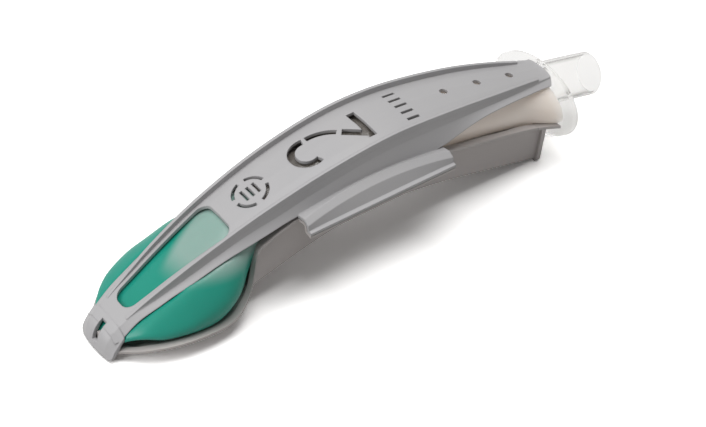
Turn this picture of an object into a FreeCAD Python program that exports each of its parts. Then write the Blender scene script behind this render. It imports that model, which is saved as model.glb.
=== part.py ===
import FreeCAD, Part

import math
import os

# Supraglottic airway of a child's size, lying in its moulded two-piece travel cage.
# Millimetres, +Z up. The object rests on the dish and the heel of the lower tray.
# While it is drawn, x runs from the crease at the tip of the lid towards the connector
# and y = 0 is the plane of symmetry. At the end everything is moved along x, so that
# the origin lies under the middle of the overall length.

V = FreeCAD.Vector

# Long arch shared by every piece: height of the lid's rib tops over x, three tangent arcs.
ARCH_PEAK_X = 104.1
ARCH_PEAK_Z = 42.95
ARCH_R_MID = 112.7
ARCH_R_TIP = 195.3
ARCH_R_END = 281.7
ARCH_JOIN_TIP = 13.9
ARCH_JOIN_END = 12.1

# Lid: crowned web between two ribs, with a flared skirt on each side.
WEB_T = 1.2
CROWN_DROP = 0.9
RIB_T = 1.15
RIB_FROM = 8.8
RIB_TO = 168.6
RIB_SINK = 0.6
SKIRT_T = 1.1
LID_FROM = 3.0
LID_END = 174.6
LID_END_R = 8.0
LID_END_LIFT = 0.9
LID_HALF = [(0, 5.2), (8.8, 6.3), (16.6, 7.3), (24.4, 8.4), (32.5, 9.35), (40.9, 10.2), (49.4, 10.8),
            (58, 11.35), (67, 11.8), (76, 12.1), (86, 12.35), (96, 12.4), (106, 12.2), (117, 11.95),
            (129, 11.3), (141, 10.4), (150, 9.4), (159, 8.0), (168.4, 6.3), (178, 5.4)]
RIB_H = [(0, 0.15), (8.8, 0.2), (20, 1.3), (34, 2.0), (60, 2.3), (130, 2.2), (155, 1.7), (168.6, 1.0), (178, 0.15)]
CROWN = [(0, 0.2), (8.8, 0.3), (34, 1.2), (130, 1.3), (160, 0.8), (178, 0.2)]
WALL_H = [(0, 0.1), (8.8, 0.15), (20, 0.9), (33, 1.4), (47, 1.6), (65, 2.8), (110, 2.6), (125, 2.2), (147, 1.2), (178, 0.5)]
SKIRT_DROP = [(0, 1.7), (4.5, 1.9), (12.6, 2.1), (23.8, 3.6), (32.3, 4.6), (39.6, 5.0), (46.7, 5.9), (52.6, 6.7),
              (60, 7.4), (67, 8.2), (85, 10.8), (100, 11.9), (110, 11.8), (118, 11.4), (124.5, 10.2), (131, 7.9),
              (138, 5.8), (147, 4.2), (157, 3.2), (167, 2.6), (178, 2.0)]
SKIRT_OUT = [(0, 2.6), (12, 2.5), (52, 2.4), (67, 1.9), (100, 2.0), (125, 2.5), (147, 2.4), (167, 2.5), (178, 2.6)]

# Lid tip: hooks down over the tip of the tray, and has a slot for the tray's tongue.
TIP_HALF = 9.0
TIP_FOOT = 0.5
TIP_BACK = 6.0
TIP_BOW = 1.0
TIP_FRONT = -0.3
TIP_R = 2.2
SLOT_HALF = 1.25
SLOT_TO = 4.5
SLOT_LOW = 3.3
TONGUE_T = 1.2
TONGUE_TOP = 5.7

# Window over the cuff, holes and stencil cuts in the web.
WINDOW = [(10.2, 4.0), (47.1, 8.3)]
WINDOW_R_TIP = 3.5
WINDOW_R_END = 3.4
HOLE_R = 1.35
HOLE_FIRST = 133.4
HOLE_PITCH = 13.7
HOLE_COUNT = 3
NUMBER_BOWL = [(81.5, 5.0), (75.0, 0.2), (81.9, -4.6)]
NUMBER_BOWL_W = 2.5
NUMBER_NECK = [(82.9, 5.2), (87.8, 4.0), (91.9, 1.1)]
NUMBER_NECK_W = 2.0
NUMBER_SLANT = [(93.2, 0.0), (100.6, -6.2)]
NUMBER_SLANT_W = 2.6
NUMBER_BASE = [(100.3, -7.2), (100.3, 5.7)]
NUMBER_BASE_W = 2.9
VENT_X = 58.6
VENT_RING = 5.5
VENT_W = 1.1
VENT_SWEEP = 66.0
VENT_COUNT = 4
VENT_BAR_L = 4.6
VENT_BAR_PITCH = 2.2
VENT_BARS = 3
SLIT_X = 116.2
SLIT_L = 4.6
SLIT_W = 1.0
SLIT_PITCH = 3.4
SLIT_COUNT = 5

# Snap bead: raised along both edges of the tray, with the lid's clip nested over it.
BEAD_FROM = 67.0
BEAD_TO = 123.0
BEAD_SHIFT_FAR = 8.0
BEAD_T = 1.0
CLIP_T = 1.1
CLIP_GAP = 0.3
BEAD_Z = 28.2
BEAD_LINE = [(12.6, 0.2), (16.9, 1.15), (18.0, 0.4), (18.4, -1.7), (20.6, -2.1)]
CLIP_RISE = [(0.0, 1.9), (-2.1, 2.3), (-1.6, 2.1), (0.0, 0.0), (0.0, 0.0)]

# Tray: shallow dish round the cuff, then a trough with a flanged rim, closed by a heel wall.
TRAY_T = 1.2
RIM_T = 1.0
RIM_W = 1.4
TRAY_FROM = 2.0
HEEL_X = 167.7
HEEL_T = 1.5
HEEL_FRAME = 1.0
HEEL_FRAME_W = 1.8
RIM_END = 171.4
RIM_END_HALF = 15.6
DEPTH = [(0, 25.4), (62, 25.9), (80, 26.2), (95, 27.4), (108, 28.1), (118, 28.9), (127, 29.6), (133, 30.2),
         (141, 31.0), (150, 31.5), (160, 31.75), (168, 31.8)]
REST_CUT = 0.08
CHAMFER = [(0, 2.2), (42, 2.2), (60, 0.8), (168, 0.8)]
DISH_RIM = [(0, 3.9), (4, 4.0), (8, 4.7), (13, 6.0), (19, 6.5), (26, 6.4), (34, 6.0), (38, 6.3), (42, 7.4),
            (45.5, 8.6), (47.6, 11.0), (49.2, 13.4), (50.5, 17.0), (51.6, 20.4), (53, 22.8), (55.5, 24.3)]
RIM_DROP = [(55.5, 10.2), (61.5, 9.5), (67, 9.5), (85, 13.1), (104, 14.7), (120, 13.7), (124, 14.0), (130, 14.7),
            (147, 15.3), (164, 15.1), (168, 14.6), (172, 13.9)]
RIM_HALF = [(0, 5.6), (2.3, 8.0), (5.2, 10.4), (8.3, 13.4), (13.3, 17.2), (19, 19.6), (25.5, 20.7), (30, 20.9),
            (34, 20.8), (38, 20.3), (41.5, 19.3), (45, 17.4), (47.6, 16.0), (49.2, 14.9), (50.5, 14.1),
            (51.6, 13.7), (53, 13.5), (67, 13.5), (120, 13.5), (147, 13.2), (160, 13.0), (168, 13.3)]
FLOOR_HALF = [(0, 3.4), (5, 6.0), (13, 11.0), (25, 14.6), (34, 14.9), (42, 14.2), (48, 13.2), (52, 12.4),
              (65, 12.1), (107, 11.7), (126, 11.2), (168, 9.6)]

# Soft cuff.
CUFF_HALF = [(2.6, 4.0), (3.5, 6.0), (5.5, 9.0), (8, 11.6), (14, 16.2), (21, 18.6), (28, 19.7), (35, 19.7),
             (42, 18.2), (47, 14.6), (51, 11.9), (55, 10.7), (60, 10.4)]
CUFF_LOW = [(2.6, 3.4), (3.5, 3.6), (10, 6.4), (22, 5.0), (30, 2.6), (36, 2.0), (42, 3.6), (48, 8.0), (54, 12.6),
            (60, 15.2)]
CUFF_TO = 60.0
CUFF_GAP = 0.35
BOWL_X = 26.0
BOWL_SEMI = (13.5, 9.5, 7.6)
BOWL_Z = 1.6

# Clear shaft with its airway lumen and the narrow channel under it.
SHAFT_HALF = 10.4
SHAFT_SEMI = 9.0
SHAFT_GAP = 0.4
SHAFT_END = 171.9
SHAFT_END_HALF = 15.7
FLARE_FROM = 159.0
LUMEN_R = 4.6
CHANNEL_R = 1.5
CHANNEL_DROP = 6.4
FIT_GAP = 0.3

# Clear connector: oval flange with a 15 mm cone on the outside and a spigot in the shaft.
CONN_TILT = 13.5
CONN_END_X = 195.5
CONN_END_Z = 17.9
CONN_LEN = 21.4
CONE_R = 7.5
BORE_R = 5.9
FLANGE_T = 1.8
FLANGE_HALF = 20.7
FLANGE_SEMI = 11.6
FLANGE_DROP = 3.4
SPIGOT_R = 5.7
SPIGOT_BORE = 4.6
SPIGOT_LEN = 23.0
SPIGOT_DROP = 2.0

OUT = "parts"


def table(rows, x):
    """Smooth value at x through the rows of (x, value), with no overshoot."""
    if x <= rows[0][0]:
        return rows[0][1]
    if x >= rows[-1][0]:
        return rows[-1][1]
    slopes = [(b[1] - a[1]) / (b[0] - a[0]) for a, b in zip(rows, rows[1:])]
    tangents = [slopes[0]]
    for s0, s1 in zip(slopes, slopes[1:]):
        tangents.append(0.0 if s0 * s1 <= 0 else 2 * s0 * s1 / (s0 + s1))
    tangents.append(slopes[-1])
    for i in range(len(rows) - 1):
        if x <= rows[i + 1][0]:
            h = rows[i + 1][0] - rows[i][0]
            t = (x - rows[i][0]) / h
            return ((2 * t ** 3 - 3 * t * t + 1) * rows[i][1] + (t ** 3 - 2 * t * t + t) * h * tangents[i]
                    + (3 * t * t - 2 * t ** 3) * rows[i + 1][1] + (t ** 3 - t * t) * h * tangents[i + 1])


def arch(x):
    """Height of the rib tops at x."""
    cx, cz = ARCH_PEAK_X, ARCH_PEAK_Z - ARCH_R_MID
    if x < ARCH_PEAK_X - ARCH_JOIN_TIP:
        join, r = ARCH_PEAK_X - ARCH_JOIN_TIP, ARCH_R_TIP
    elif x > ARCH_PEAK_X + ARCH_JOIN_END:
        join, r = ARCH_PEAK_X + ARCH_JOIN_END, ARCH_R_END
    else:
        return cz + math.sqrt(ARCH_R_MID ** 2 - (x - cx) ** 2)
    jz = cz + math.sqrt(ARCH_R_MID ** 2 - (join - cx) ** 2)
    ax = join + (cx - join) / ARCH_R_MID * r
    az = jz + (cz - jz) / ARCH_R_MID * r
    return az + math.sqrt(r * r - (x - ax) ** 2)


def web_edge(x):
    """Top of the web beside a rib."""
    lift = LID_END_LIFT * max(0.0, (x - RIB_TO + 4) / (LID_END - RIB_TO + 4)) ** 2
    return arch(x) - table(RIB_H, x) + lift


def web_top(x):
    """Top of the web on the centreline."""
    return web_edge(x) + table(CROWN, x)


def tray_low(x):
    """Outside of the tray's floor."""
    return max(-REST_CUT, arch(x) - table(DEPTH, x))


def rim_top(x):
    """Top of the tray's rim."""
    return table(DISH_RIM, x) if x < 55.5 else arch(x) - table(RIM_DROP, x)


def wire(points):
    return Part.makePolygon(points + [points[0]])


def mirrored(x, half):
    """Closed outline in the plane of x from its half at y >= 0, first and last point on y = 0."""
    right = [V(x, y, z) for y, z in half]
    left = [V(x, -y, z) for y, z in reversed(half[1:-1])]
    return wire(right + left)


def loft(wires, ruled=False):
    solid = Part.makeLoft(wires, True, ruled)
    return solid if solid.Volume > 0 else solid.reversed()


def prism(points, direction):
    return Part.Face(wire(points)).extrude(direction)


def both(shape):
    """The shape and its mirror image across the plane of symmetry."""
    return shape.fuse(shape.mirror(V(0, 0, 0), V(0, 1, 0)))


def oval(x, half, low, high):
    """Ellipse in the plane of x, wider than high."""
    mid, semi = (low + high) / 2, (high - low) / 2
    return Part.Wire(Part.Ellipse(V(x, half, mid), V(x, 0, mid + semi), V(x, 0, mid)).toShape())


def span(a, b, step):
    count = max(1, round((b - a) / step))
    return [a + (b - a) * i / count for i in range(count + 1)]


def offset_line(line, d):
    """The open polyline moved by d to its left side, seen with y to the right and z up."""
    normals = []
    for (y0, z0), (y1, z1) in zip(line, line[1:]):
        n = math.hypot(y1 - y0, z1 - z0)
        normals.append((-(z1 - z0) / n, (y1 - y0) / n))
    out = []
    for i, (y, z) in enumerate(line):
        a = normals[max(0, i - 1)]
        b = normals[min(len(normals) - 1, i)]
        k = 1 + a[0] * b[0] + a[1] * b[1]
        out.append((y + d * (a[0] + b[0]) / k, z + d * (a[1] + b[1]) / k))
    return out


def bead(d0, d1, rise=0.0):
    """Strip between two offsets of the bead's line, on both sides, its shoulder raised towards the middle."""
    strips = []
    for side, shift in ((-1, 0.0), (1, BEAD_SHIFT_FAR)):
        wires = []
        for i in range(9 if rise else 2):
            t = 2 * i / (8 if rise else 1) - 1
            share = rise * (1 - t * t)
            line = [(y + dy * share, BEAD_Z + z + dz * share) for (y, z), (dy, dz) in zip(BEAD_LINE, CLIP_RISE)]
            x = (BEAD_FROM + BEAD_TO) / 2 + t * (BEAD_TO - BEAD_FROM) / 2 + shift
            wires.append(wire([V(x, side * y, z) for y, z in offset_line(line, d0) + offset_line(line, d1)[::-1]]))
        strips.append(loft(wires, not rise))
    return strips


def stroke(points, width):
    """Upright prism over a straight or curved stroke of even width, given by its middle line."""
    if len(points) == 2:
        a, b = V(*points[0], 0), V(*points[1], 0)
        n = (b - a).cross(V(0, 0, 1)).normalize() * (width / 2)
        return prism([a - n, b - n, b + n, a + n], V(0, 0, 60))
    a, m, b = (V(*p, 0) for p in points)
    circle = Part.Arc(a, m, b).toShape().Curve
    centre, r = circle.Center, circle.Radius
    ends = []
    for k in (1 + width / 2 / r, 1 - width / 2 / r):
        ends.append([centre + (p - centre) * k for p in (a, m, b)])
    (a0, m0, b0), (a1, m1, b1) = ends
    edges = [Part.Arc(a0, m0, b0).toShape(), Part.LineSegment(b0, b1).toShape(), Part.Arc(b1, m1, a1).toShape(),
             Part.LineSegment(a1, a0).toShape()]
    return Part.Face(Part.Wire(edges)).extrude(V(0, 0, 60))


def lid_section(x, grow=0.0):
    w, t = table(LID_HALF, x), WEB_T
    edge, top = web_edge(x), web_top(x)
    wall, drop, out = table(WALL_H, x), table(SKIRT_DROP, x) - table(RIB_H, x), table(SKIRT_OUT, x)
    wall = min(wall, drop - 0.6)
    part = 0.55
    return mirrored(x, [
        (0, top + grow),
        (part * w, top - part ** 2 * (top - edge) + grow),
        (w + grow, edge + grow),
        (w + 0.15 + grow, edge - wall),
        (w + out + grow, edge - drop),
        (w + out - SKIRT_T * 0.55, edge - drop - SKIRT_T * 0.5 - grow),
        (w + 0.15 - SKIRT_T - grow, edge - wall - 0.6 - grow),
        (w - SKIRT_T - grow, edge - t - 0.25 - grow),
        (part * w - grow, top - part ** 2 * (top - edge) - t - grow),
        (0, top - t - grow),
    ])


def lid_tip():
    """The nose of the lid, bent down over the tip of the tray."""
    def outline(y):
        w, wall, out, drop = (table(rows, 4) for rows in (LID_HALF, WALL_H, SKIRT_OUT, SKIRT_DROP))
        dz = 0.0
        if abs(y) > w:
            dz = -wall - (drop - wall) * (abs(y) - w) / out
        elif y:
            dz = -table(CROWN, 4) * (y / w) ** 2
        back, t = TIP_BACK, WEB_T

        def bent(rows):
            points = []
            for x, z in rows:
                x += TIP_BOW * (y / TIP_HALF) ** 2 * min(1.0, (back - x) / 3.0)
                points.append(V(x, y, z + dz * min(1.0, z / 6.5)))
            curve = Part.BSplineCurve()
            curve.interpolate(points)
            return curve.toShape(), points[0], points[-1]

        outer, o0, o1 = bent([(back, web_top(back)), (4.4, web_top(4.4)), (3.0, web_top(3.0) - 0.1), (1.6, 7.2),
                              (0.55, 5.0), (-0.05, 2.6), (TIP_FRONT, TIP_FOOT)])
        inner, i0, i1 = bent([(t - 0.3, TIP_FOOT), (t + 0.05, 2.6), (1.85, 4.6), (2.75, 6.2),
                              (3.9, web_top(3.9) - t - 0.15), (5.0, web_top(5.0) - t - 0.05), (back, web_top(back) - t)])
        return Part.Wire([outer, Part.LineSegment(o1, i0).toShape(), inner, Part.LineSegment(i1, o0).toShape()])

    w = table(LID_HALF, 4)
    ys = [0.0, w * 0.55, w, w + 0.15, TIP_HALF + 0.6]
    nose = loft([outline(y) for y in [-y for y in ys[:0:-1]] + ys], True)
    h, r = TIP_HALF, TIP_R
    side = [(h, 16), (h, TIP_FOOT + r)]
    side += [(h - r + r * math.cos(k), TIP_FOOT + r - r * math.sin(k)) for k in (math.radians(d) for d in (15, 30, 45, 60, 75, 90))]
    side[-1] = (h - r, TIP_FOOT - 1)
    front = [V(-4, -y, z) for y, z in side] + [V(-4, y, z) for y, z in reversed(side)]
    return nose.common(prism(front, V(12, 0, 0)))


def window_cut():
    (x0, h0), (x1, h1) = WINDOW
    corners = [V(x0, -h0, 0), V(x1, -h1, 0), V(x1, h1, 0), V(x0, h0, 0)]
    return rounded_prism(corners, [WINDOW_R_TIP, WINDOW_R_END, WINDOW_R_END, WINDOW_R_TIP], 0, 60)


def rounded_prism(corners, radii, z0, z1):
    """Upright prism over a polygon, each corner rounded by its own radius."""
    edges, n = [], len(corners)
    starts, ends, mids = [], [], []
    for i, c in enumerate(corners):
        a, b = corners[i - 1] - c, corners[(i + 1) % n] - c
        a.normalize()
        b.normalize()
        half = a.getAngle(b) / 2
        bis = a + b
        bis.normalize()
        r = radii[i]
        starts.append(c + a * (r / math.tan(half)))
        ends.append(c + b * (r / math.tan(half)))
        mids.append(c + bis * (r / math.sin(half) - r))
    for i in range(n):
        edges.append(Part.Arc(starts[i], mids[i], ends[i]).toShape())
        j = (i + 1) % n
        if (ends[i] - starts[j]).Length > 1e-6:
            edges.append(Part.LineSegment(ends[i], starts[j]).toShape())
    face = Part.Face(Part.Wire(edges))
    face.translate(V(0, 0, z0))
    return face.extrude(V(0, 0, z1 - z0))


def web_cuts():
    """Stencil size number, a ring of curved vents round three bars, and a row of slits across the web."""
    cuts = [stroke(NUMBER_BOWL, NUMBER_BOWL_W), stroke(NUMBER_NECK, NUMBER_NECK_W),
            stroke(NUMBER_SLANT, NUMBER_SLANT_W), stroke(NUMBER_BASE, NUMBER_BASE_W)]
    half = math.radians(VENT_SWEEP / 2)
    for i in range(VENT_COUNT):
        turn = 2 * math.pi * (i + 0.5) / VENT_COUNT
        cuts.append(stroke([(VENT_X + VENT_RING * math.cos(turn + k * half), VENT_RING * math.sin(turn + k * half))
                            for k in (-1, 0, 1)], VENT_W))
    for i in range(VENT_BARS):
        x = VENT_X + (i - (VENT_BARS - 1) / 2) * VENT_BAR_PITCH
        cuts.append(stroke([(x, -VENT_BAR_L / 2), (x, VENT_BAR_L / 2)], SLIT_W))
    for i in range(SLIT_COUNT):
        y = (i - (SLIT_COUNT - 1) / 2) * SLIT_PITCH
        cuts.append(stroke([(SLIT_X - SLIT_L / 2, y), (SLIT_X + SLIT_L / 2, y)], SLIT_W))
    for c in cuts:
        c.translate(V(0, 0, 28))
    return cuts


def lid():
    xs = span(LID_FROM, LID_END + 1, 6.0)
    body = loft([lid_section(x) for x in xs])
    h = table(LID_HALF, LID_END - LID_END_R) + table(SKIRT_OUT, LID_END) + 0.4
    trim = rounded_prism([V(LID_END, -h, 0), V(LID_END, h, 0), V(-9, 40, 0), V(-9, -40, 0)],
                         [LID_END_R, LID_END_R, 1, 1], -5, 60)
    body = body.common(trim)
    body = body.fuse(lid_tip())
    ribs = []
    for side in (-1, 1):
        wires = []
        for x in span(RIB_FROM, RIB_TO, 7.0):
            y = table(LID_HALF, x) - 0.04
            low, high = web_edge(x) - RIB_SINK, arch(x)
            wires.append(wire([V(x, side * (y - RIB_T), low), V(x, side * y, low),
                               V(x, side * y, high), V(x, side * (y - RIB_T), high)]))
        ribs.append(loft(wires))
    body = body.fuse(ribs)
    body = body.fuse(bead(CLIP_GAP, CLIP_GAP + CLIP_T, 1.0))
    body = body.cut(window_cut())
    body = body.cut(web_cuts())
    slot = Part.makeBox(SLOT_TO + 4, 2 * SLOT_HALF, 12, V(-4, -SLOT_HALF, SLOT_LOW))
    holes = [Part.makeCylinder(HOLE_R, 30, V(HOLE_FIRST + i * HOLE_PITCH, 0, 25)) for i in range(HOLE_COUNT)]
    return body.cut([slot] + holes).removeSplitter()


def tray_section(x):
    yr, zr, yf, low = table(RIM_HALF, x), rim_top(x), table(FLOOR_HALF, x), tray_low(x)
    c = min(table(CHAMFER, x), (zr - RIM_T - low) * 0.5)
    return mirrored(x, [(0, low), (yf - c, low), (yf, low + c), (yr - RIM_W, zr - RIM_T), (yr, zr - RIM_T),
                        (yr, zr), (0, zr)])


def tray_hollow(x):
    yr, zr, yf, low = table(RIM_HALF, x), rim_top(x), table(FLOOR_HALF, x), tray_low(x)
    c = min(table(CHAMFER, x), (zr - RIM_T - low) * 0.5)
    t = TRAY_T
    return mirrored(x, [(0, low + t), (yf - c - t * 0.4, low + t), (yf - t, low + c + t * 0.4),
                        (yr - RIM_W - t, zr), (yr - RIM_W - t, zr + 12), (0, zr + 12)])


TRAY_STATIONS = ([2.0, 3.6, 5.6, 8.3, 11.5, 15, 19, 24, 29, 34, 38, 41.5, 44.5, 46.6, 48.2, 49.5, 50.7, 51.8,
                  53.2, 55.5, 59, 63] + span(68, 124, 7.0) + [130, 137, 145, 153, 161, HEEL_X])


def tray():
    outer = loft([tray_section(x) for x in TRAY_STATIONS])
    inside = [x for x in TRAY_STATIONS if 3.4 < x < HEEL_X - HEEL_T - 1] + [HEEL_X - HEEL_T]
    body = outer.cut(loft([tray_hollow(x) for x in inside]))
    body = body.fuse(bead(-BEAD_T, 0))
    # Frame standing proud round the heel wall.
    x = HEEL_X - HEEL_FRAME_W
    yf, low, f = table(FLOOR_HALF, HEEL_X), tray_low(HEEL_X), HEEL_FRAME
    yr, zr = table(RIM_HALF, HEEL_X), rim_top(HEEL_X)
    c = table(CHAMFER, HEEL_X)
    frame = [(yf - c + f, low), (yf + f, low + c), (yr - RIM_W + f, zr - RIM_T * 0.5)]
    frame = [V(x, y, z) for y, z in frame] + [V(x, -y, z) for y, z in reversed(frame)]
    plate = prism(frame, V(HEEL_FRAME_W, 0, 0))
    window = prism([V(x - 1, s * y, z) for s, y, z in
                    ((1, yf - 1.6, low + 1.5), (1, yr - RIM_W - 1.6, zr + 2), (-1, yr - RIM_W - 1.6, zr + 2),
                     (-1, yf - 1.6, low + 1.5))], V(HEEL_FRAME_W - HEEL_T + 1, 0, 0))
    body = body.fuse(plate.cut(window))
    # Rims run on past the heel wall and open out round the end of the shaft.
    strips = []
    for side in (-1, 1):
        wires = []
        for x in (HEEL_X - 4, HEEL_X - 2, HEEL_X, HEEL_X + 2, RIM_END):
            share = max(0.0, (x - HEEL_X + 4) / (RIM_END - HEEL_X + 4))
            y = table(RIM_HALF, HEEL_X) + (RIM_END_HALF - table(RIM_HALF, HEEL_X)) * share ** 1.6
            z = rim_top(x)
            wires.append(wire([V(x, side * (y - 3.4), z - RIM_T), V(x, side * y, z - RIM_T), V(x, side * y, z),
                               V(x, side * (y - 3.4), z)]))
        strips.append(loft(wires))
    body = body.fuse(strips)
    tongue = Part.makeBox(TONGUE_T, 2 * (SLOT_HALF - 0.35), TONGUE_TOP - 2.6, V(TRAY_FROM - 0.1, -SLOT_HALF + 0.35, 2.6))
    body = body.fuse(tongue)
    below = Part.makeBox(200, 80, 10, V(-10, -40, -10))
    return body.cut([shaft_outside(FIT_GAP), below]).removeSplitter()


def shaft_mid(x):
    return web_top(x) - WEB_T - SHAFT_GAP - SHAFT_SEMI


def shaft_outside(grow=0.0):
    """Outside of the shaft: an oval that opens out into a flat-bottomed end."""
    wires = []
    for x in span(CUFF_TO, 150, 7.5) + [155, 159, 162, 165, 168, 170, SHAFT_END + (6 if grow else 0)]:
        share = min(1.0, max(0.0, (x - FLARE_FROM) / (SHAFT_END - FLARE_FROM))) ** 1.5
        half = SHAFT_HALF + (SHAFT_END_HALF - SHAFT_HALF) * share
        mid = shaft_mid(min(x, SHAFT_END))
        wires.append(oval(x, half + grow, mid - SHAFT_SEMI - grow, mid + SHAFT_SEMI + grow))
    body = loft(wires)
    # The widened end sits on the tray's rims, so below them it keeps the width of the trough.
    flank = []
    for x in (FLARE_FROM - 4, HEEL_X, SHAFT_END + 8):
        z = rim_top(min(x, RIM_END)) + FIT_GAP - grow
        y = SHAFT_HALF - 0.6 + grow
        flank.append(wire([V(x, y, z - 30), V(x, 30, z - 30), V(x, 30, z), V(x, y, z)]))
    return body.cut(both(loft(flank, True)))


def tube_along(x0, x1, step, radius, height):
    wires = []
    for x in span(x0, x1, step):
        wires.append(Part.Wire(Part.Circle(V(x, 0, height(x)), V(1, 0, 0), radius).toShape()))
    return loft(wires)


def conn_axis():
    k = math.radians(CONN_TILT)
    return V(math.cos(k), 0, -math.sin(k)), V(math.sin(k), 0, math.cos(k))


def shaft():
    body = shaft_outside()
    axis, up = conn_axis()
    base = V(CONN_END_X, 0, CONN_END_Z) - axis * CONN_LEN - up * SPIGOT_DROP
    body = body.cut([
        tube_along(CUFF_TO - 1, 156, 7.0, LUMEN_R, shaft_mid),
        tube_along(CUFF_TO - 1, SHAFT_END + 3, 7.0, CHANNEL_R, lambda x: shaft_mid(x) - CHANNEL_DROP),
        Part.makeCylinder(SPIGOT_R + 0.02, SPIGOT_LEN + 30, base - axis * (SPIGOT_LEN + FLANGE_T), axis),
    ])
    face = base - axis * (FLANGE_T + 0.05)
    keep = Part.makeBox(60, 80, 80, V(-30, -40, -40))
    keep.Placement = FreeCAD.Placement(face + axis * 30, FreeCAD.Rotation(V(0, 1, 0), CONN_TILT))
    return body.cut(keep)


def connector():
    """The 15 mm end of the connector."""
    axis, up = conn_axis()
    base = V(CONN_END_X, 0, CONN_END_Z) - axis * CONN_LEN
    outside = Part.makeCylinder(CONE_R, CONN_LEN, base, axis)
    return outside.cut(Part.makeCylinder(BORE_R, CONN_LEN + 2, base - axis, axis))


def flange():
    """The oval flange with the spigot that holds the shaft. It is one moulding with the connector."""
    axis, up = conn_axis()
    base = V(CONN_END_X, 0, CONN_END_Z) - axis * CONN_LEN
    turn = FreeCAD.Rotation(V(0, 1, 0), CONN_TILT)
    disc = Part.Face(Part.Wire(Part.Ellipse(V(0, 0, 0), FLANGE_HALF, FLANGE_SEMI).toShape())).extrude(V(0, 0, FLANGE_T))
    # The drawn ellipse lies in XY with its long axis along X: long axis to Y, thickness to the axis.
    matrix = FreeCAD.Matrix(0, 0, 1, 0, 1, 0, 0, 0, 0, 1, 0, 0, 0, 0, 0, 1)
    disc = disc.transformGeometry(matrix)
    disc.Placement = FreeCAD.Placement(base - axis * FLANGE_T - up * FLANGE_DROP, turn)
    foot = base - axis * FLANGE_T - up * SPIGOT_DROP
    body = disc.fuse(Part.makeCylinder(SPIGOT_R, SPIGOT_LEN + 0.1, foot - axis * SPIGOT_LEN, axis))
    body = body.cut([
        Part.makeCylinder(SPIGOT_BORE, SPIGOT_LEN + FLANGE_T + 4, foot - axis * (SPIGOT_LEN + 1), axis),
        Part.makeCylinder(CHANNEL_R + 0.3, 8, V(SHAFT_END - 2, 0, shaft_mid(SHAFT_END) - CHANNEL_DROP), axis),
    ])
    return body.removeSplitter()


def cuff():
    wires = []
    for x in (2.6, 3.5, 5.5, 8, 11, 15, 20, 25, 30, 35, 40, 44, 47.5, 51, 55, CUFF_TO):
        high = web_top(x) - WEB_T - CUFF_GAP - (1.6 if x < 4 else 0.5 if x < 7 else 0)
        low = max(table(CUFF_LOW, x), min(tray_low(x) + TRAY_T + CUFF_GAP, high - 1.6))
        wires.append(oval(x, table(CUFF_HALF, x), min(low, high - 1.6), high))
    body = loft(wires)
    # The strap of the lid presses a clear groove into the cuff.
    body = body.cut(loft([lid_section(x, CUFF_GAP) for x in span(2.4, 66, 5.3)]))
    a, b, c = BOWL_SEMI
    bowl = Part.makeSphere(10)
    bowl = bowl.transformGeometry(FreeCAD.Matrix(a / 10, 0, 0, BOWL_X, 0, b / 10, 0, 0, 0, 0, c / 10, BOWL_Z, 0, 0, 0, 1))
    top = V(CUFF_TO + 2, 0, shaft_mid(CUFF_TO + 2))
    low = V(BOWL_X + 6, 0, BOWL_Z + 3)
    lumen = Part.makeCylinder(LUMEN_R, (top - low).Length + 3, top + (top - low).normalize() * 3, low - top)
    body = body.cut([bowl, lumen])
    return body


def largest(shape):
    """The one solid of a shape, leaving out slivers that a cut leaves behind."""
    solids = sorted(shape.Solids, key=lambda s: s.Volume)
    return solids[-1]


def main():
    os.makedirs(OUT, exist_ok=True)
    axis, up = conn_axis()
    x_max = CONN_END_X + up.x * CONE_R
    pieces = {"cage_lid": lid(), "cage_tray": tray(), "gel_cuff": cuff(), "airway_shaft": shaft(),
              "connector_flange": flange(), "airway_connector": connector()}
    middle = (TIP_FRONT + x_max) / 2
    for name, shape in pieces.items():
        count = len(shape.Solids)
        solid = largest(shape)
        solid.translate(V(-middle, 0, 0))
        solid.exportStep(os.path.join(OUT, name + ".step"))
        b = solid.optimalBoundingBox(False, False)
        print(f"{name}: {count} solid, valid {solid.isValid()}, volume {solid.Volume / 1000:.2f} cm3, "
              f"x {b.XMin:.1f} {b.XMax:.1f} y {b.YMin:.1f} {b.YMax:.1f} z {b.ZMin:.1f} {b.ZMax:.1f}")
    print(f"shift {-middle:.3f}")


main()
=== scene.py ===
import math

import bmesh
import bpy
from mathutils import Matrix, Vector


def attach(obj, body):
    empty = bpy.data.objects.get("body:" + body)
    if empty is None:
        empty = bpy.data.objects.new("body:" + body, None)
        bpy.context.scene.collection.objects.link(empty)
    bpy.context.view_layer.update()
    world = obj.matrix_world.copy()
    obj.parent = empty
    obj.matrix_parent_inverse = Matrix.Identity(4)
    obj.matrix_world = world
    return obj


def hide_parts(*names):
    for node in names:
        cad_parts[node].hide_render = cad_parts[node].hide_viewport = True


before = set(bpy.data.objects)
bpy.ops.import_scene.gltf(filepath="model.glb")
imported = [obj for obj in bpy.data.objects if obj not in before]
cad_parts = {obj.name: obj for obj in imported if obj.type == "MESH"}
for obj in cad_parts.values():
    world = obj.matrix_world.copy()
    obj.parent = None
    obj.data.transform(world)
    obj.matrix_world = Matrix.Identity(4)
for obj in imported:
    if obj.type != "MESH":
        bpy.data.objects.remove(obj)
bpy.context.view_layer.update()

bl_info = {
    "name": "Supraglottic airway in its travel cage",
    "version": (1, 0, 0),
    "blender": (4, 5, 0),
    "location": "3D View > Sidebar > Airway",
    "description": "Dresses the packed airway and its moulded cage, and sets up a plain studio",
    "category": "Object",
}

MM = 0.001
BODY = "root"


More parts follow.
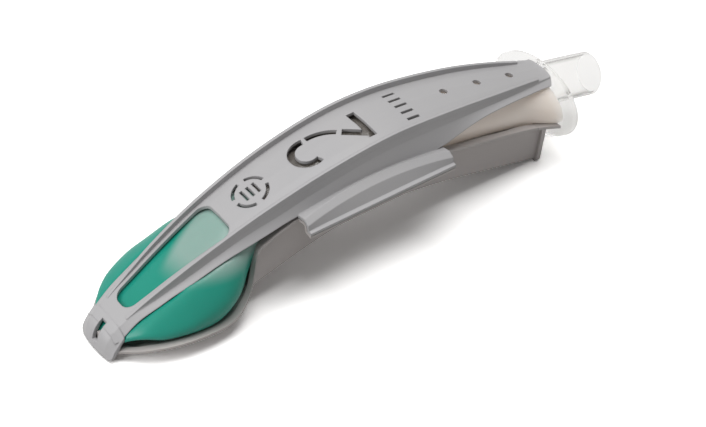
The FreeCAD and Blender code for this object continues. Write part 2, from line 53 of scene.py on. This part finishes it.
class CageLook(bpy.types.PropertyGroup):
    """Finish of the two moulded cage pieces."""
    lid_colour: bpy.props.FloatVectorProperty(
        name="Lid colour", description="Base colour of the lid's plastic", subtype="COLOR", size=4,
        default=(0.405, 0.398, 0.402, 1.0), min=0.0, max=1.0)
    tray_colour: bpy.props.FloatVectorProperty(
        name="Tray colour", description="Base colour of the tray's plastic", subtype="COLOR", size=4,
        default=(0.45, 0.418, 0.404, 1.0), min=0.0, max=1.0)
    roughness: bpy.props.FloatProperty(
        name="Roughness", description="Middle roughness of the moulded surface", default=0.46,
        min=0.0, max=1.0)
    edge: bpy.props.FloatProperty(
        name="Edge rounding", description="Radius on the moulded edges", unit="LENGTH", default=0.55 * MM,
        min=0.0, max=1.0 * MM)


class CuffLook(bpy.types.PropertyGroup):
    """Shape and finish of the soft gel cuff."""
    deep_colour: bpy.props.FloatVectorProperty(
        name="Gel colour", description="Colour of the thick gel", subtype="COLOR", size=4,
        default=(0.0, 0.245, 0.175, 1.0), min=0.0, max=1.0)
    pale_colour: bpy.props.FloatVectorProperty(
        name="Thin gel colour", description="Colour where the gel is thin or hazy", subtype="COLOR", size=4,
        default=(0.02, 0.28, 0.215, 1.0), min=0.0, max=1.0)
    # Pale gel colour, partly a painted highlight, mixed in over the higher part of the bowl.
    haze_and_highlight_colour: bpy.props.FloatVectorProperty(
        name="Haze colour", description="Pale haze over the bowl, seen through the window", subtype="COLOR",
        size=4, default=(0.30, 0.40, 0.365, 1.0), min=0.0, max=1.0)
    voxel: bpy.props.FloatProperty(
        name="Voxel", description="Grain of the remeshed gel body", unit="LENGTH", default=0.55 * MM,
        min=0.2 * MM, max=2.0 * MM)
    smoothing: bpy.props.IntProperty(
        name="Smoothing", description="Rounds of smoothing on the gel body", default=14, min=0, max=60)


class ClearLook(bpy.types.PropertyGroup):
    """Finish of the clear tube and its connector."""
    # The tube colour is also the colour of its painted glow.
    tube_colour: bpy.props.FloatVectorProperty(
        name="Tube colour", description="Tint of the soft clear tube", subtype="COLOR", size=4,
        default=(0.80, 0.73, 0.67, 1.0), min=0.0, max=1.0)
    # Painted shade: the tube takes this colour under the lid, where the lid shuts out the light.
    shaded_colour: bpy.props.FloatVectorProperty(
        name="Shaded colour", description="Tube seen through the cuts of the lid", subtype="COLOR", size=4,
        default=(0.15, 0.135, 0.12, 1.0), min=0.0, max=1.0)
    connector_colour: bpy.props.FloatVectorProperty(
        name="Connector colour", description="Tint of the rigid clear connector", subtype="COLOR", size=4,
        default=(0.985, 0.983, 0.978, 1.0), min=0.0, max=1.0)
    # Painted shade: this grey is laid on the connector where it is seen edge on.
    edge_shade_colour: bpy.props.FloatVectorProperty(
        name="Edge colour", description="Tint of the connector where it is seen edge on", subtype="COLOR",
        size=4, default=(0.42, 0.41, 0.39, 1.0), min=0.0, max=1.0)


class Studio(bpy.types.PropertyGroup):
    """Floor, lights and camera."""
    lens: bpy.props.FloatProperty(
        name="Lens", description="Focal length on a 36 mm sensor, in millimetres", default=108.114, min=10.0)
    distance: bpy.props.FloatProperty(
        name="Distance", description="From the camera to the point it looks at", unit="LENGTH",
        default=0.70594)
    azimuth: bpy.props.FloatProperty(
        name="Azimuth", description="Turn of the camera round the object", unit="ROTATION",
        default=math.radians(-35.607))
    elevation: bpy.props.FloatProperty(
        name="Elevation", description="Height of the camera above the horizon", unit="ROTATION",
        default=math.radians(41.931))
    key_power: bpy.props.FloatProperty(
        name="Key light", description="Power of the large light above the object, in watts", default=7.6,
        min=0.0)
    fill: bpy.props.FloatProperty(
        name="Fill", description="Strength of the even light from all round", default=0.20, min=0.0)


# Camera: the point it looks at, the width of its sensor in millimetres and its clipping in metres.
LOOK_AT = Vector((5.939, 9.551, -5.779)) * MM
SENSOR = 36.0
CLIP_RANGE = (0.01, 20.0)

# Area lights: name, place in metres, side in metres, share of the key power. Both aim at LIGHT_AIM.
LIGHT_AIM = Vector((0.0, 0.0, 0.02))
LIGHTS = (("key", (0.07, 0.02, 1.0), 0.70, 1.0),
          ("side", (-0.92, 0.16, 0.48), 0.60, 0.75))

# Floor: half its side in metres, its colour as a lit surface, what is added to that for the camera, and the
# share of the addition that is seen in a mirror or through clear plastic.
FLOOR_HALF = 6.0
FLOOR_COLOUR = (0.56, 0.555, 0.55, 1.0)
FLOOR_ROUGHNESS = 0.9
FLOOR_ADDED = (0.96, 0.955, 0.95, 1.0)
CLEAR_RAY_SHARE = 0.35

# Noise of the shared groups, and the band of it that the mottle spreads over its two colours.
FINE_NOISE = {"Detail": 3.0, "Roughness": 0.6}
BROAD_NOISE = {"Scale": 55.0, "Detail": 2.0}
MOTTLE_NOISE = {"Detail": 3.0, "Roughness": 0.5}
MOTTLE_BAND = (0.35, 0.65)

# Rays that the shader spends on rounding a moulded edge.
EDGE_SAMPLES = 6

# Doubled points closer than this are one point.
WELD = 0.002 * MM

# Gel cuff: strength of its smoothing, how far its near side sinks, and where across and along it does so.
GEL_SOFTEN = 0.6
GEL_SAG = 2.2 * MM
SAG_ACROSS = (11.5 * MM, 19.5 * MM)
SAG_STARTS = (-94.0 * MM, -82.0 * MM)
SAG_ENDS = (-56.0 * MM, -48.0 * MM)

# Paler, hazy gel with a painted highlight on the top of the bowl: it comes in along a slanted line and with
# height.
# The slanted line runs from the middle near the tip to the far corner at the back of the window.
HAZE_HIGHLIGHT_SLANT = -2.2
HAZE_HIGHLIGHT_ALONG = (-78.0 * MM, -69.0 * MM)
HAZE_HIGHLIGHT_HEIGHT = (18.5 * MM, 23.5 * MM)
HAZE_HIGHLIGHT_MOST = 0.8

# Tube: from where to where along it the painted shade of the lid ends and the painted glow of its open end
# takes over.
SHADE_ENDS = (18.0 * MM, 30.0 * MM)

# Clear connector: how edge-on it is seen where its painted edge shade starts and where it is greyest.
GREY_FACING = (0.62, 0.95)

# Sizes of the clear connector, the same as its solids have. CONN_END_X is the farthest point of its outer
# end, and CONN_END_Z the height of that end's middle.
CONN_END_X = 98.775 * MM
CONN_END_Z = 17.9 * MM
CONN_TILT = math.radians(13.5)
CONE_R = 7.5 * MM
CONE_LEN = 21.4 * MM
BORE_R = 5.9 * MM
FLANGE_T = 1.8 * MM
FLANGE_HALF = 20.7 * MM
FLANGE_SEMI = 11.6 * MM
FLANGE_DROP = 3.4 * MM
SPIGOT_R = 5.7 * MM
SPIGOT_BORE = 4.6 * MM
SPIGOT_LEN = 23.0 * MM
SPIGOT_DROP = 2.0 * MM

# How the scene makes that connector: its rounded edges, how finely it is divided, how far a bore runs past the
# end it opens and past the face where it meets the other bore, and the turn that lays it down.
CONN_EDGE = 0.35 * MM
CONN_EDGE_STEPS = 3
CONN_EDGE_ANGLE = math.radians(50)
CONN_SHARP_ANGLE = math.radians(35)
FLANGE_SIDES = 96
ROD_SIDES = 72
PAST_END = 1.0 * MM
PAST_FACE = 0.1 * MM
UPRIGHT_TO_LEVEL = math.radians(90)


def node(tree, kind, inputs=None, **values):
    """A shader node with its properties and unlinked inputs set."""
    made = tree.nodes.new(kind)
    for key, value in values.items():
        setattr(made, key, value)
    for key, value in (inputs or {}).items():
        made.inputs[key].default_value = value
    return made


def position(tree):
    """The object's own X, Y and Z, as separate sockets."""
    place = node(tree, "ShaderNodeTexCoord")
    parts = node(tree, "ShaderNodeSeparateXYZ")
    tree.links.new(place.outputs["Object"], parts.inputs[0])
    return parts.outputs


def ramp(tree, socket, ends, **values):
    """0 below the first of ends, 1 above the second."""
    made = node(tree, "ShaderNodeMapRange", {"From Min": ends[0], "From Max": ends[1]}, **values)
    tree.links.new(socket, made.inputs["Value"])
    return made.outputs["Result"]


def times(tree, first, second):
    """The product of a socket with another socket or a number."""
    made = node(tree, "ShaderNodeMath", operation="MULTIPLY")
    tree.links.new(first, made.inputs[0])
    if isinstance(second, float):
        made.inputs[1].default_value = second
    else:
        tree.links.new(second, made.inputs[1])
    return made.outputs[0]


def new_group(name, inputs, outputs):
    """A shader node group with the named sockets, and its two ends."""
    tree = bpy.data.node_groups.new(name, "ShaderNodeTree")
    for title, kind, default in inputs:
        socket = tree.interface.new_socket(title, in_out="INPUT", socket_type=kind)
        if default is not None:
            socket.default_value = default
    for title, kind in outputs:
        tree.interface.new_socket(title, in_out="OUTPUT", socket_type=kind)
    return tree, tree.nodes.new("NodeGroupInput"), tree.nodes.new("NodeGroupOutput")


def grain_group():
    """Fine spark-eroded grain of a moulded surface: a height, and a roughness that varies with it."""
    tree, start, end = new_group(
        "moulded grain",
        [("Size", "NodeSocketFloat", 2600.0), ("Roughness", "NodeSocketFloat", 0.45),
         ("Spread", "NodeSocketFloat", 0.08)],
        [("Height", "NodeSocketFloat"), ("Roughness", "NodeSocketFloat")])
    link = tree.links.new
    place = node(tree, "ShaderNodeTexCoord")
    fine = node(tree, "ShaderNodeTexNoise", FINE_NOISE)
    link(place.outputs["Object"], fine.inputs["Vector"])
    link(start.outputs["Size"], fine.inputs["Scale"])
    broad = node(tree, "ShaderNodeTexNoise", BROAD_NOISE)
    link(place.outputs["Object"], broad.inputs["Vector"])
    centred = node(tree, "ShaderNodeMath", {1: 0.5}, operation="SUBTRACT")
    link(broad.outputs["Fac"], centred.inputs[0])
    spread = node(tree, "ShaderNodeMath", operation="MULTIPLY_ADD")
    link(centred.outputs[0], spread.inputs[0])
    link(start.outputs["Spread"], spread.inputs[1])
    link(start.outputs["Roughness"], spread.inputs[2])
    link(fine.outputs["Fac"], end.inputs["Height"])
    link(spread.outputs[0], end.inputs["Roughness"])
    return tree


def mottle_group():
    """Slow change between two colours, as in a moulding that cooled unevenly or a hazy gel."""
    tree, start, end = new_group(
        "slow mottle",
        [("Colour", "NodeSocketColor", None), ("Other colour", "NodeSocketColor", None),
         ("Size", "NodeSocketFloat", 40.0), ("Amount", "NodeSocketFloat", 0.5)],
        [("Colour", "NodeSocketColor")])
    link = tree.links.new
    place = node(tree, "ShaderNodeTexCoord")
    noise = node(tree, "ShaderNodeTexNoise", MOTTLE_NOISE)
    link(place.outputs["Object"], noise.inputs["Vector"])
    link(start.outputs["Size"], noise.inputs["Scale"])
    mix = node(tree, "ShaderNodeMix", data_type="RGBA")
    share = times(tree, ramp(tree, noise.outputs["Fac"], MOTTLE_BAND), start.outputs["Amount"])
    link(share, mix.inputs["Factor"])
    link(start.outputs["Colour"], mix.inputs[6])
    link(start.outputs["Other colour"], mix.inputs[7])
    link(mix.outputs[2], end.inputs["Colour"])
    return tree


def group(tree, name, inputs):
    """A node that uses one of the two shared groups, which is made at its first use."""
    makers = {"moulded grain": grain_group, "slow mottle": mottle_group}
    user = tree.nodes.new("ShaderNodeGroup")
    user.node_tree = bpy.data.node_groups.get(name) or makers[name]()
    for key, value in inputs.items():
        user.inputs[key].default_value = value
    return user


def finish_material(name, colours, mottle, roughness, grain, bump, shader, edge=0.0):
    """A material whose colour, roughness and relief come from the two shared groups.

    colours are the two ends of the mottle, and mottle is its size and amount. roughness is its middle and
    spread, grain its size, and bump its strength and depth. shader holds values for the shader's own sockets,
    and edge is the radius on sharp edges.
    """
    material = bpy.data.materials.new(name)
    material.use_nodes = True
    tree = material.node_tree
    bsdf = tree.nodes["Principled BSDF"]
    for key, value in shader.items():
        bsdf.inputs[key].default_value = value
    shade = group(tree, "slow mottle", {"Colour": colours[0], "Other colour": colours[1], "Size": mottle[0],
                                        "Amount": mottle[1]})
    tree.links.new(shade.outputs["Colour"], bsdf.inputs["Base Color"])
    skin = group(tree, "moulded grain", {"Size": grain, "Roughness": roughness[0], "Spread": roughness[1]})
    tree.links.new(skin.outputs["Roughness"], bsdf.inputs["Roughness"])
    relief = node(tree, "ShaderNodeBump", {"Strength": bump[0], "Distance": bump[1]})
    tree.links.new(skin.outputs["Height"], relief.inputs["Height"])
    if edge:
        rounded = node(tree, "ShaderNodeBevel", {"Radius": edge}, samples=EDGE_SAMPLES)
        tree.links.new(rounded.outputs["Normal"], relief.inputs["Normal"])
    tree.links.new(relief.outputs["Normal"], bsdf.inputs["Normal"])
    return material


def blend_colour(material, share, colour, base_is_low=True):
    """Mixes colour into the base colour, which stays as it was at share 0, or at 1 if not base_is_low."""
    tree = material.node_tree
    base = tree.nodes["Principled BSDF"].inputs["Base Color"]
    mix = node(tree, "ShaderNodeMix", data_type="RGBA")
    tree.links.new(share, mix.inputs["Factor"])
    low, high = (mix.inputs[6], mix.inputs[7]) if base_is_low else (mix.inputs[7], mix.inputs[6])
    tree.links.new(base.links[0].from_socket, low)
    high.default_value = colour
    tree.links.new(mix.outputs[2], base)
    return mix.outputs[2]


def dress(obj, material):
    """Gives obj this one material."""
    obj.data.materials.clear()
    obj.data.materials.append(material)


def smooth_step(value, ends):
    """0 below the first of ends, 1 above the second, smooth between them."""
    low, high = ends
    share = min(1.0, max(0.0, (value - low) / (high - low)))
    return share * share * (3.0 - 2.0 * share)


def tint(colour, factor):
    """The colour with its three channels scaled, and opaque."""
    return tuple(min(1.0, c * f) for c, f in zip(colour[:3], factor)) + (1.0,)


def new_object(name, shape):
    """A new object at the origin, made from a bmesh that is freed."""
    mesh = bpy.data.meshes.new(name)
    shape.to_mesh(mesh)
    shape.free()
    made = bpy.data.objects.new(name, mesh)
    bpy.context.scene.collection.objects.link(made)
    return made


def merged_copy(name, source):
    """A copy of a CAD node with its doubled points merged."""
    copy = bmesh.new()
    copy.from_mesh(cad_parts[source].data)
    bmesh.ops.remove_doubles(copy, verts=copy.verts, dist=WELD)
    return new_object(name, copy)


def smooth_faces(obj):
    """Shades all faces of obj smoothly."""
    obj.data.polygons.foreach_set("use_smooth", [True] * len(obj.data.polygons))


def apply_modifiers(obj):
    """Bakes the modifiers of obj into its mesh."""
    depsgraph = bpy.context.evaluated_depsgraph_get()
    mesh = bpy.data.meshes.new_from_object(obj.evaluated_get(depsgraph))
    obj.modifiers.clear()
    obj.data = mesh


class BuildCage(bpy.types.Operator):
    """Gives the lid and the tray their moulded plastic."""
    bl_idname = "airway.build_cage"
    bl_label = "Cage"

    def execute(self, context):
        cage = context.scene.airway_cage
        for part, colour in (("cage_lid", cage.lid_colour), ("cage_tray", cage.tray_colour)):
            material = finish_material(
                part.replace("_", " ") + " plastic",
                colours=(tuple(colour), tint(colour, (0.95, 0.955, 0.965))), mottle=(38.0, 0.8),
                roughness=(cage.roughness, 0.10), grain=2400.0, bump=(0.12, 0.05 * MM),
                shader={"Specular IOR Level": 0.42}, edge=cage.edge)
            dress(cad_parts[part], material)
        return {"FINISHED"}


class BuildCuff(bpy.types.Operator):
    """Makes the soft gel cuff as one smooth body in place of its CAD solid."""
    bl_idname = "airway.build_cuff"
    bl_label = "Gel cuff"

    def execute(self, context):
        look = context.scene.airway_cuff
        gel = merged_copy("gel_body", "gel_cuff")
        remesh = gel.modifiers.new("grain", "REMESH")
        remesh.mode = "VOXEL"
        remesh.voxel_size = look.voxel
        soften = gel.modifiers.new("soften", "SMOOTH")
        soften.factor = GEL_SOFTEN
        soften.iterations = look.smoothing
        apply_modifiers(gel)
        smooth_faces(gel)
        self.hang(gel)
        material = finish_material(
            "teal gel", colours=(tuple(look.deep_colour), tuple(look.pale_colour)), mottle=(26.0, 0.55),
            roughness=(0.36, 0.10), grain=900.0, bump=(0.05, 0.05 * MM),
            shader={"Subsurface Weight": 0.25, "Subsurface Radius": (0.6, 1.6, 1.3),
                    "Subsurface Scale": 2.2 * MM, "Specular IOR Level": 0.32, "Coat Weight": 0.08,
                    "Coat Roughness": 0.18})
        self.haze_highlight(material, tuple(look.haze_and_highlight_colour))
        dress(gel, material)
        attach(gel, BODY)
        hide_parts("gel_cuff")
        return {"FINISHED"}

    def hang(self, gel):
        """Lets the near side of the cuff sink a little towards the tray's rim."""
        for vertex in gel.data.vertices:
            x, near = vertex.co.x, -vertex.co.y
            along = smooth_step(x, SAG_STARTS) * (1.0 - smooth_step(x, SAG_ENDS))
            vertex.co.z -= GEL_SAG * smooth_step(near, SAG_ACROSS) * along

    def haze_highlight(self, material, colour):
        """Mixes in the pale, hazy gel that shows through the window over the hollow of the bowl, with a
        painted highlight where it stands higher.
        """
        tree = material.node_tree
        place = position(tree)
        slant = node(tree, "ShaderNodeMath", {1: HAZE_HIGHLIGHT_SLANT}, operation="MULTIPLY_ADD")
        tree.links.new(place["Y"], slant.inputs[0])
        tree.links.new(place["X"], slant.inputs[2])
        # Painted highlight: the gel is painted paler where it stands higher and farther back.
        along = ramp(tree, slant.outputs[0], HAZE_HIGHLIGHT_ALONG, interpolation_type="SMOOTHSTEP")
        high = ramp(tree, place["Z"], HAZE_HIGHLIGHT_HEIGHT, interpolation_type="SMOOTHSTEP")
        blend_colour(material, times(tree, times(tree, along, high), HAZE_HIGHLIGHT_MOST), colour)


class BuildClear(bpy.types.Operator):
    """Gives the tube and the connector their clear finish."""
    bl_idname = "airway.build_clear"
    bl_label = "Tube and connector"

    def execute(self, context):
        look = context.scene.airway_clear
        tube = tuple(look.tube_colour)
        # The tube's weak emission is a painted glow, in its own colour past the lid and in the painted shade
        # under it.
        material = finish_material(
            "clear tube", colours=(tube, tint(tube, (0.97, 0.96, 0.94))), mottle=(60.0, 0.6),
            roughness=(0.20, 0.12), grain=500.0, bump=(0.06, 0.05 * MM),
            shader={"Transmission Weight": 0.15, "IOR": 1.40, "Specular IOR Level": 0.5,
                    "Subsurface Weight": 0.8, "Subsurface Radius": (1.0, 0.95, 0.9),
                    "Subsurface Scale": 9.0 * MM, "Emission Strength": 0.09})
        self.paint_shade_and_glow(material, tuple(look.shaded_colour))
        dress(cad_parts["airway_shaft"], material)
        clear = tuple(look.connector_colour)
        material = finish_material(
            "clear connector", colours=(clear, tint(clear, (0.985, 0.99, 0.985))), mottle=(80.0, 0.5),
            roughness=(0.05, 0.03), grain=700.0, bump=(0.03, 0.03 * MM),
            shader={"Transmission Weight": 1.0, "IOR": 1.12, "Specular IOR Level": 0.5})
        self.paint_edge_shade(material, tuple(look.edge_shade_colour))
        connector = self.connector()
        dress(connector, material)
        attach(connector, BODY)
        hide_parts("airway_connector", "connector_flange")
        return {"FINISHED"}

    def paint_edge_shade(self, material, colour):
        """Greys the clear plastic where it is seen edge on: painted shade for the dark outline that refraction
        gives it.
        """
        tree = material.node_tree
        facing = node(tree, "ShaderNodeLayerWeight", {"Blend": 0.5})
        blend_colour(material, ramp(tree, facing.outputs["Facing"], GREY_FACING), colour)

    def paint_shade_and_glow(self, material, colour):
        """Paints shade on the tube where the lid shuts out the light, and a painted glow in the tube's own
        colour on its open end.
        """
        tree = material.node_tree
        lit = ramp(tree, position(tree)["X"], SHADE_ENDS, interpolation_type="SMOOTHSTEP")
        mixed = blend_colour(material, lit, colour, base_is_low=False)
        # The painted colour also feeds the emission, so the open end of the tube shows a painted glow.
        tree.links.new(mixed, tree.nodes["Principled BSDF"].inputs["Emission Color"])

    def connector(self):
        """The clear connector as one moulding, open right through: oval flange, 15 mm end and spigot.

        It is drawn standing, with its axis along +Z and the flange's outer face at 0, and then laid in place.
        """
        shape = bmesh.new()
        flange = bmesh.ops.create_circle(shape, cap_ends=True, radius=1.0, segments=FLANGE_SIDES)["verts"]
        bmesh.ops.scale(shape, vec=(FLANGE_SEMI, FLANGE_HALF, 1.0), verts=flange)
        bmesh.ops.translate(shape, vec=(FLANGE_DROP, 0, -FLANGE_T), verts=flange)
        lifted = bmesh.ops.extrude_face_region(shape, geom=shape.faces[:])["geom"]
        lifted = [g for g in lifted if isinstance(g, bmesh.types.BMVert)]
        bmesh.ops.translate(shape, vec=(0, 0, FLANGE_T), verts=lifted)
        bmesh.ops.recalc_face_normals(shape, faces=shape.faces)
        body = new_object("connector_clear_body", shape)
        spigot_end = -FLANGE_T - SPIGOT_LEN
        steps = (("UNION", self.rod(CONE_R, -FLANGE_T / 2, CONE_LEN, 0.0)),
                 ("UNION", self.rod(SPIGOT_R, spigot_end, -FLANGE_T / 2, SPIGOT_DROP)),
                 ("DIFFERENCE", self.rod(BORE_R, 0.0, CONE_LEN + PAST_END, 0.0)),
                 ("DIFFERENCE", self.rod(SPIGOT_BORE, spigot_end - PAST_END, PAST_FACE, SPIGOT_DROP)))
        for operation, tool in steps:
            join = body.modifiers.new(operation, "BOOLEAN")
            join.operation = operation
            join.solver = "EXACT"
            join.object = tool
        bevel = body.modifiers.new("edges", "BEVEL")
        bevel.width = CONN_EDGE
        bevel.segments = CONN_EDGE_STEPS
        bevel.limit_method = "ANGLE"
        bevel.angle_limit = CONN_EDGE_ANGLE
        apply_modifiers(body)
        for _, tool in steps:
            bpy.data.objects.remove(tool)
        axis = Vector((math.cos(CONN_TILT), 0, -math.sin(CONN_TILT)))
        end = Vector((CONN_END_X - CONE_R * math.sin(CONN_TILT), 0, CONN_END_Z))
        turn = Matrix.Rotation(UPRIGHT_TO_LEVEL + CONN_TILT, 4, "Y")
        body.data.transform(Matrix.Translation(end - axis * CONE_LEN) @ turn)
        smooth_faces(body)
        body.data.set_sharp_from_angle(angle=CONN_SHARP_ANGLE)
        return body

    def rod(self, radius, low, high, shift):
        """A round rod along Z, used to join or to bore, its axis moved by shift along X."""
        shape = bmesh.new()
        bmesh.ops.create_cone(shape, cap_ends=True, segments=ROD_SIDES, radius1=radius, radius2=radius,
                              depth=high - low)
        bmesh.ops.translate(shape, vec=(shift, 0, (high + low) / 2), verts=shape.verts)
        return new_object("rod", shape)


class BuildStage(bpy.types.Operator):
    """Makes the floor, the lights, the world and the camera."""
    bl_idname = "airway.build_stage"
    bl_label = "Studio"

    def execute(self, context):
        scene = context.scene
        studio = scene.airway_studio
        plane = bmesh.new()
        bmesh.ops.create_grid(plane, x_segments=1, y_segments=1, size=FLOOR_HALF)
        ground = new_object("floor", plane)
        dress(ground, self.floor_material())
        self.lights(scene, studio)
        self.world(scene, studio)
        self.camera(scene, studio)
        scene.view_settings.view_transform = "Standard"
        return {"FINISHED"}

    def floor_material(self):
        """Grey paper, with more added to it for the camera, so that it shows white away from the shadow."""
        material = bpy.data.materials.new("floor paper")
        material.use_nodes = True
        tree = material.node_tree
        link = tree.links.new
        bsdf = tree.nodes["Principled BSDF"]
        bsdf.inputs["Base Color"].default_value = FLOOR_COLOUR
        bsdf.inputs["Roughness"].default_value = FLOOR_ROUGHNESS
        bsdf.inputs["Specular IOR Level"].default_value = 0.0
        added = node(tree, "ShaderNodeBsdfDiffuse", {"Color": FLOOR_ADDED})
        both = node(tree, "ShaderNodeAddShader")
        link(bsdf.outputs[0], both.inputs[0])
        link(added.outputs[0], both.inputs[1])
        mix = node(tree, "ShaderNodeMixShader")
        link(self.seen(tree, CLEAR_RAY_SHARE), mix.inputs[0])
        link(bsdf.outputs[0], mix.inputs[1])
        link(both.outputs[0], mix.inputs[2])
        link(mix.outputs[0], tree.nodes["Material Output"].inputs["Surface"])
        return material

    def seen(self, tree, share):
        """1 for camera rays, share for mirror rays and rays through clear plastic, 0 for all others."""
        path = node(tree, "ShaderNodeLightPath")
        first = node(tree, "ShaderNodeMath", operation="MAXIMUM")
        tree.links.new(path.outputs["Is Transmission Ray"], first.inputs[0])
        tree.links.new(path.outputs["Is Glossy Ray"], first.inputs[1])
        second = node(tree, "ShaderNodeMath", {1: share}, operation="MULTIPLY_ADD", use_clamp=True)
        tree.links.new(first.outputs[0], second.inputs[0])
        tree.links.new(path.outputs["Is Camera Ray"], second.inputs[2])
        return second.outputs[0]

    def lights(self, scene, studio):
        """Two square area lights, one overhead and one at the side."""
        for name, place, size, share in LIGHTS:
            lamp = bpy.data.lights.new(name, "AREA")
            lamp.size = size
            lamp.energy = studio.key_power * share
            obj = bpy.data.objects.new(name, lamp)
            scene.collection.objects.link(obj)
            obj.location = place
            obj.rotation_euler = (LIGHT_AIM - Vector(place)).to_track_quat("-Z", "Y").to_euler()

    def world(self, scene, studio):
        """A white surround that gives a weak fill and shows white behind the floor."""
        world = bpy.data.worlds.new("studio")
        scene.world = world
        world.use_nodes = True
        tree = world.node_tree
        back = tree.nodes["Background"]
        back.inputs["Color"].default_value = (1, 1, 1, 1)
        strength = node(tree, "ShaderNodeMapRange", {"To Min": studio.fill, "To Max": 1.0})
        tree.links.new(self.seen(tree, 1.0), strength.inputs["Value"])
        tree.links.new(strength.outputs["Result"], back.inputs["Strength"])

    def camera(self, scene, studio):
        """The camera of the photograph."""
        around, above = studio.azimuth, studio.elevation
        level = math.cos(above)
        back = Vector((math.sin(around) * level, -math.cos(around) * level, math.sin(above)))
        data = bpy.data.cameras.new("camera")
        data.sensor_fit = "HORIZONTAL"
        data.sensor_width = SENSOR
        data.lens = studio.lens
        data.clip_start, data.clip_end = CLIP_RANGE
        camera = bpy.data.objects.new("camera", data)
        scene.collection.objects.link(camera)
        camera.location = LOOK_AT + back * studio.distance
        camera.rotation_euler = (-back).to_track_quat("-Z", "Y").to_euler()
        scene.camera = camera


class AirwayPanel(bpy.types.Panel):
    """Lists the steps and their settings in the 3D view's sidebar."""
    bl_idname = "VIEW3D_PT_airway"
    bl_label = "Airway"
    bl_space_type = "VIEW_3D"
    bl_region_type = "UI"
    bl_category = "Airway"

    def draw(self, context):
        for kind in OPERATORS:
            self.layout.operator(kind.bl_idname)
        for name in LOOKS:
            look = getattr(context.scene, name)
            box = self.layout.box()
            for key in look.__annotations__:
                box.prop(look, key)


LOOKS = {"airway_cage": CageLook, "airway_cuff": CuffLook, "airway_clear": ClearLook, "airway_studio": Studio}
OPERATORS = (BuildCage, BuildCuff, BuildClear, BuildStage)
CLASSES = (*LOOKS.values(), *OPERATORS, AirwayPanel)


def register():
    for kind in CLASSES:
        bpy.utils.register_class(kind)
    for name, kind in LOOKS.items():
        setattr(bpy.types.Scene, name, bpy.props.PointerProperty(type=kind))


def unregister():
    for name in LOOKS:
        delattr(bpy.types.Scene, name)
    for kind in reversed(CLASSES):
        bpy.utils.unregister_class(kind)


def main():
    register()
    bpy.ops.airway.build_stage()
    bpy.ops.airway.build_cage()
    bpy.ops.airway.build_cuff()
    bpy.ops.airway.build_clear()


if __name__ == "__main__":
    main()
